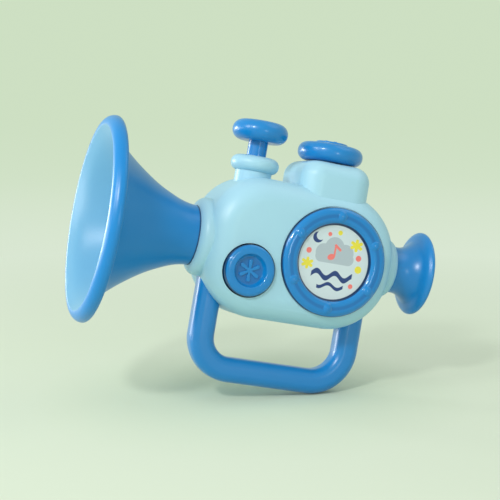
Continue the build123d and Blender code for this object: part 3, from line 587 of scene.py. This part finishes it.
class TrumpetPlastic(bpy.types.PropertyGroup):
    light_blue: tone("Light blue", "Colour of the casing and the chimney ring", (0.372, 0.645, 0.785))
    deep_blue: tone("Deep blue", "Colour of the horn, handle, knobs, button and ring", (0.001, 0.21, 0.575))
    satin: factor("Satin", "Roughness of the casing", 0.38)
    gloss: factor("Gloss", "Roughness of the deep blue pieces", 0.34)
    coat: factor("Skin", "Weight of the valve's and the dial's glossy skin", 0.35)
    coat_roughness: factor("Skin roughness", "Roughness of that skin", 0.14)
    broad_coat: factor("Bell skin", "Weight of the bell's softer skin", 0.2)
    grip_coat: factor("Grip skin", "Weight of the mouthpiece's and the handle's softer skin", 0.5)
    broad_roughness: factor("Soft skin roughness", "Roughness of the softer skins", 0.28)
    relief_coat: factor("Relief skin", "Weight of the ring's and the button's skin", 0.9)
    relief_roughness: factor("Relief skin roughness", "Roughness of that skin", 0.1)
    relief_shine: factor("Relief shine", "Level of the reflection under that skin", 0.2)
    # Painted sheen inside the bell, where its surface faces the horn's axis
    inside_sheen_blue: tone("Inner blue", "Lighter blue inside the bell", (0.115, 0.34, 0.555))
    inside_sheen_reach: factor("Inner reach", "Turn towards the axis at which the inner blue is full", 0.5)
    # Painted shade in the gaps at the edges of ring, button and bell
    gap_shade_blue: tone("Seam blue", "Dark lines at the edges of ring, button and bell", (0.002, 0.045, 0.16))
    gap_shade_width: millimetres("Seam width", "Width of those lines", 0.5)
    # Painted shade round the rivets and in the button's dish, where the relief's shadow falls
    ground_shade_blue: tone("Ground blue", "Deeper blue round the rivets and the petals", (0.001, 0.15, 0.45))
    ground_shade_edge: amount("Ground edge", "How sharply it ends at the foot of a rivet or petal", 12.0)
    band_inset: millimetres("Band inset", "Middle of the rivets' band from the ring's opening", 4.35)
    band_width: millimetres("Band width", "Width of the rivets' band", 2.0)
    band_depth: millimetres("Band depth", "Depth under the rivets' tops where the band begins", 0.82)
    dish_radius: millimetres("Dish radius", "Radius of the button's dish", 7.7)
    dish_depth: millimetres("Dish depth", "Depth under the button's rim where the dish's floor begins", 2.7)
    roughness_drift: factor("Roughness drift", "Change of roughness over a moulding", 0.05)
    cloud_scale: amount("Cloud scale", "Lumps of colour in a metre", 14.0)
    cloud_depth: factor("Cloud depth", "Change of colour over a moulding", 0.03)
    grain_scale: amount("Grain scale", "Grains in a metre", 2400.0)
    grain_strength: factor("Grain strength", "Strength of the eroded grain", 0.08)


class TrumpetInsides(bpy.types.PropertyGroup):
    moulding: tone("Moulding", "Colour of the inner mouldings", (0.72, 0.73, 0.70))
    steel: tone("Steel", "Colour of springs and screws", (0.56, 0.56, 0.58))
    brass: tone("Brass", "Colour of the reed tongue", (0.72, 0.50, 0.22))
    tube: tone("Tube", "Colour of the air tube", (0.58, 0.58, 0.54))


class TrumpetPicture(bpy.types.PropertyGroup):
    ground: tone("Ground", "Colour of the card", (0.60, 0.70, 0.75))
    cloud: tone("Cloud", "Colour of the cloud", (0.42, 0.50, 0.56))
    ink: tone("Ink", "Colour of the waves and the moon", (0.004, 0.035, 0.18))
    coral: tone("Coral", "Colour of the note and the warm dots", (0.86, 0.19, 0.17))
    yellow: tone("Yellow", "Colour of the sparkles and the yellow dots", (0.80, 0.70, 0.05))
    # Painted shade round the picture's rim, by the ring's edge
    ring_edge_shade: tone("Border", "Colour of the thin line round the picture", (0.006, 0.04, 0.13))
    border_width: millimetres("Border width", "Half the width of that line", 0.8)
    hidden_rim: millimetres("Hidden rim", "Width of the disc under the ring", 1.0)
    design_scale: amount("Design scale", "Size of the printed design", 1.0)
    print_softness: millimetres("Print softness", "Width of the ink's soft edge", 0.25)


class TrumpetStage(bpy.types.PropertyGroup):
    view_azimuth: degrees("Azimuth", "Turn of the camera towards the bell", 18.04)
    view_elevation: degrees("Elevation", "Height of the camera over the level", -0.17)
    view_roll: degrees("Roll", "Lean of the toy in the view", 9.68)
    view_target: bpy.props.FloatVectorProperty(
        name="Target", description="Point that the camera faces", default=(-0.00527, 0.0, 0.0769),
        subtype="TRANSLATION",
    )
    view_distance: metres("Distance", "Distance of the camera from its target", 0.7265)
    view_lens: amount("Lens", "Focal length on a 36 mm sensor", 91.04)
    floor_pitch: degrees("Floor pitch", "Height of the camera over the floor's plane", 8.0)
    floor_colour: tone("Floor", "Colour of the floor", (0.735, 0.825, 0.695))
    backdrop_colour: tone("Backdrop", "Colour of the backdrop's upper part", (0.615, 0.742, 0.546))
    backdrop_reach: metres("Backdrop reach", "Distance over which the paper changes colour", 1.8)
    paper_tint: tone("Paper tint", "Share of the lamps' light that the paper returns", (0.87, 0.885, 0.82))
    floor_glow: amount("Floor glow", "Strength of the paper's even part", 1.0)
    floor_evenness: factor("Floor evenness", "Share of the near floor that no lamp or shadow changes", 0.4)
    contact_reach: metres("Contact reach", "Distance over which that share grows from nothing", 0.13)
    shade_reach: metres("Shade reach", "How far from the toy the floor takes shadows in full", 0.19)
    shade_fade: metres("Shade fade", "Length over which the shadows fade out", 0.42)
    air_colour: tone("Air", "Colour of the light from all round", (0.96, 1.0, 0.96))
    air_strength: amount("Air strength", "Strength of the light from all round", 0.57)
    key_power: watts("Key", "Power of the main lamp", 7.0)
    side_power: watts("Side", "Power of the lamp beside the bell", 5.0)
    strip_power: watts("Strip", "Power of the long lamp on the bell's side", 9.5)
    box_power: watts("Soft box", "Power of the soft lamp before the bell", 4.2)
    fill_power: watts("Fill", "Power of the weak lamp beside the camera", 1.0)
    top_power: watts("Top", "Power of the lamp overhead", 1.6)

    def view(self):
        """The photograph's direction: the view's right, up and backward vectors."""
        turn, lift, roll = self.view_azimuth, self.view_elevation, self.view_roll
        back = Vector((-math.sin(turn) * math.cos(lift), -math.cos(turn) * math.cos(lift), math.sin(lift)))
        level = Vector((math.cos(turn), -math.sin(turn), 0.0))
        plumb = back.cross(level)
        right = level * math.cos(roll) + plumb * math.sin(roll)
        up = plumb * math.cos(roll) - level * math.sin(roll)
        return right, up, back


# Pieces

class TRUMPET_OT_casing(bpy.types.Operator):
    """Dresses the two shells and the chimney ring in light blue plastic"""

    bl_idname = "trumpet.casing"
    bl_label = "Casing"

    def execute(self, context):
        look = context.scene.trumpet_plastic
        plastic = moulded_plastic("casing plastic", look.light_blue, look, look.satin)
        dress(plastic, "front_shell", "rear_shell", "chimney_ring")
        return {"FINISHED"}


class TRUMPET_OT_horn(bpy.types.Operator):
    """Dresses the bell and the mouthpiece in deep blue plastic"""

    bl_idname = "trumpet.horn"
    bl_label = "Horn"

    def execute(self, context):
        look = context.scene.trumpet_plastic
        low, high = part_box("bell")
        # Painted sheen inside the bell, and painted shade where it enters the casing
        inside = bell_sheen_and_gap_shade((low.z + high.z) / 2 / MM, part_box("front_shell")[0].x / MM)
        skin = (look.broad_coat, look.broad_roughness)
        plastic = moulded_plastic("bell plastic", look.deep_blue, look, look.gloss, skin, details=[inside])
        dress(plastic, "bell")
        skin = (look.grip_coat, look.broad_roughness)
        plastic = moulded_plastic("mouthpiece plastic", look.deep_blue, look, look.gloss, skin)
        dress(plastic, "mouthpiece")
        return {"FINISHED"}


class TRUMPET_OT_handle(bpy.types.Operator):
    """Dresses the handle's halves in deep blue plastic"""

    bl_idname = "trumpet.handle"
    bl_label = "Handle"

    def execute(self, context):
        look = context.scene.trumpet_plastic
        skin = (look.grip_coat, look.broad_roughness)
        plastic = moulded_plastic("handle plastic", look.deep_blue, look, look.gloss, skin)
        dress(plastic, "handle_front", "handle_rear")
        return {"FINISHED"}


class TRUMPET_OT_valve(bpy.types.Operator):
    """Dresses the plunger valve's cap and stem"""

    bl_idname = "trumpet.valve"
    bl_label = "Valve"

    def execute(self, context):
        look = context.scene.trumpet_plastic
        skin = (look.coat, look.coat_roughness)
        plastic = moulded_plastic("valve plastic", look.deep_blue, look, look.gloss, skin)
        dress(plastic, "valve_cap", "valve_stem")
        return {"FINISHED"}


class TRUMPET_OT_dial(bpy.types.Operator):
    """Dresses the dial on the turret"""

    bl_idname = "trumpet.dial"
    bl_label = "Dial"

    def execute(self, context):
        look = context.scene.trumpet_plastic
        skin = (look.coat, look.coat_roughness)
        plastic = moulded_plastic("dial plastic", look.deep_blue, look, look.gloss, skin)
        dress(plastic, "turret_knob")
        return {"FINISHED"}


class TRUMPET_OT_button(bpy.types.Operator):
    """Dresses the push button, with painted shade in the dish round its petals and at its edge"""

    bl_idname = "trumpet.button"
    bl_label = "Button"

    def execute(self, context):
        look = context.scene.trumpet_plastic
        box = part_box("button_cap")
        details = [painted_ground_shade(box, 0.0, look.dish_radius, look.dish_depth), gap_shade_lines(box)]
        skin = (look.relief_coat, look.relief_roughness)
        plastic = moulded_plastic(
            "button plastic", look.deep_blue, look, look.gloss, skin, look.relief_shine, details
        )
        dress(plastic, "button_cap")
        return {"FINISHED"}


class TRUMPET_OT_porthole(bpy.types.Operator):
    """Dresses the porthole's ring, with painted shade round its rivets and at its edges, and prints its
    picture disc
    """

    bl_idname = "trumpet.porthole"
    bl_label = "Porthole"

    def execute(self, context):
        look, picture = context.scene.trumpet_plastic, context.scene.trumpet_picture
        disc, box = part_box("picture_disc"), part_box("porthole_ring")
        opening = radius_of(disc) - picture.hidden_rim
        details = [
            painted_ground_shade(box, opening + look.band_inset, look.band_width / 2, look.band_depth),
            gap_shade_lines(box, opening),
        ]
        skin = (look.relief_coat, look.relief_roughness)
        plastic = moulded_plastic(
            "ring plastic", look.deep_blue, look, look.gloss, skin, look.relief_shine, details
        )
        dress(plastic, "porthole_ring")
        dress(picture_print_and_rim_shade("picture print", disc, picture), "picture_disc")
        return {"FINISHED"}


class TRUMPET_OT_insides(bpy.types.Operator):
    """Dresses the works inside the casing, and the screws"""

    bl_idname = "trumpet.insides"
    bl_label = "Insides"

    def execute(self, context):
        look = context.scene.trumpet_insides
        dress(
            plain_plastic("inner plastic", look.moulding),
            "valve_sleeve", "knob_spindle", "ratchet_wheel", "button_retainer", "reed_holder",
        )
        under_piston = seated_spring("valve_spring")
        behind_button = seated_spring("button_spring")
        dress(
            drawn_steel("spring steel", look.steel, drawn=3000.0),
            under_piston, behind_button, "click_spring",
        )
        dress(
            drawn_steel("screw steel", look.steel, drawn=1800.0),
            "knob_screw", "casing_screws", "handle_screws",
        )
        dress(rolled_brass("reed brass", look.brass), "reed_tongue")
        dress(soft_tube("air tube skin", look.tube), "air_tube")
        return {"FINISHED"}


class TRUMPET_OT_stage(bpy.types.Operator):
    """Sets the camera, the swept pale floor, the soft lamps and the air"""

    bl_idname = "trumpet.stage"
    bl_label = "Stage"

    def execute(self, context):
        scene = context.scene
        look = scene.trumpet_stage
        right, up, back = look.view()
        target = Vector(look.view_target)

        lens = bpy.data.cameras.new("photo camera")
        lens.lens = look.view_lens
        camera = bpy.data.objects.new("photo camera", lens)
        scene.collection.objects.link(camera)
        facing = Matrix((right, up, back)).transposed().to_4x4()
        camera.matrix_world = Matrix.Translation(target + back * look.view_distance) @ facing
        scene.camera = camera

        # The sweep stands in a plane under the toy's lowest point, tipped towards the camera
        normal = up * math.cos(look.floor_pitch) + back * math.sin(look.floor_pitch)
        lowest = min(
            normal.dot(vertex.co)
            for name in ("handle_front", "handle_rear", "bell")
            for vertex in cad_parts[name].data.vertices
        )
        floor = self.sweep(scene)
        base = target + normal * (lowest - normal.dot(target))
        tipped = Matrix((right, normal.cross(right), normal)).transposed().to_4x4()
        floor.matrix_world = Matrix.Translation(base) @ tipped
        floor.data.materials.append(stage_paper("stage paper", look))

        for name, setting, (across, rise, nearer), size in LAMPS:
            light = bpy.data.lights.new(name, "AREA")
            light.energy = getattr(look, setting)
            light.shape = "ELLIPSE"
            light.size, light.size_y = size
            lamp = bpy.data.objects.new(name, light)
            scene.collection.objects.link(lamp)
            lamp.location = target + right * across + up * rise + back * nearer
            lamp.rotation_mode = "QUATERNION"
            lamp.rotation_quaternion = (target - lamp.location).to_track_quat("-Z", "Y")

        scene.world = pale_air("air", look)
        scene.view_settings.view_transform = "Standard"
        return {"FINISHED"}

    @staticmethod
    def sweep(scene):
        """A sheet of paper that runs flat under the toy, bends up behind it and ends in a wall."""
        profile = [(SWEEP_NEAR, 0.0), (SWEEP_FLAT, 0.0)]
        for step in range(1, SWEEP_STEPS + 1):
            bend = math.radians(90.0 * step / SWEEP_STEPS)
            along = SWEEP_FLAT + SWEEP_BEND * math.sin(bend)
            profile.append((along, SWEEP_BEND - SWEEP_BEND * math.cos(bend)))
        profile.append((SWEEP_FLAT + SWEEP_BEND, SWEEP_TOP))
        paper = bmesh.new()
        left, right = (
            [paper.verts.new((side, along, rise)) for along, rise in profile]
            for side in (-SWEEP_HALF_WIDTH, SWEEP_HALF_WIDTH)
        )
        for step in range(len(profile) - 1):
            paper.faces.new((left[step], right[step], right[step + 1], left[step + 1]))
        mesh = bpy.data.meshes.new("floor sweep")
        paper.to_mesh(mesh)
        paper.free()
        for face in mesh.polygons:
            face.use_smooth = True
        floor = bpy.data.objects.new("floor_sweep", mesh)
        scene.collection.objects.link(floor)
        return floor


class TRUMPET_PT_panel(bpy.types.Panel):
    """Lists the toy trumpet's pieces and settings"""

    bl_idname = "TRUMPET_PT_panel"
    bl_label = "Toy Trumpet"
    bl_space_type = "VIEW_3D"
    bl_region_type = "UI"
    bl_category = "Toy Trumpet"

    def draw(self, context):
        for operator in OPERATORS:
            self.layout.operator(operator.bl_idname)
        for name, group in GROUPS.items():
            box = self.layout.box()
            for key in group.__annotations__:
                box.prop(getattr(context.scene, name), key)


GROUPS = {
    "trumpet_plastic": TrumpetPlastic,
    "trumpet_insides": TrumpetInsides,
    "trumpet_picture": TrumpetPicture,
    "trumpet_stage": TrumpetStage,
}
OPERATORS = (
    TRUMPET_OT_casing,
    TRUMPET_OT_horn,
    TRUMPET_OT_handle,
    TRUMPET_OT_valve,
    TRUMPET_OT_dial,
    TRUMPET_OT_button,
    TRUMPET_OT_porthole,
    TRUMPET_OT_insides,
    TRUMPET_OT_stage,
)


def register():
    for name, group in GROUPS.items():
        bpy.utils.register_class(group)
        setattr(bpy.types.Scene, name, bpy.props.PointerProperty(type=group))
    for operator in OPERATORS:
        bpy.utils.register_class(operator)
    bpy.utils.register_class(TRUMPET_PT_panel)


def unregister():
    bpy.utils.unregister_class(TRUMPET_PT_panel)
    for operator in reversed(OPERATORS):
        bpy.utils.unregister_class(operator)
    for name, group in GROUPS.items():
        delattr(bpy.types.Scene, name)
        bpy.utils.unregister_class(group)


def main():
    register()
    for operator in OPERATORS:
        group, name = operator.bl_idname.split(".")
        getattr(getattr(bpy.ops, group), name)()


if __name__ == "__main__":
    main()
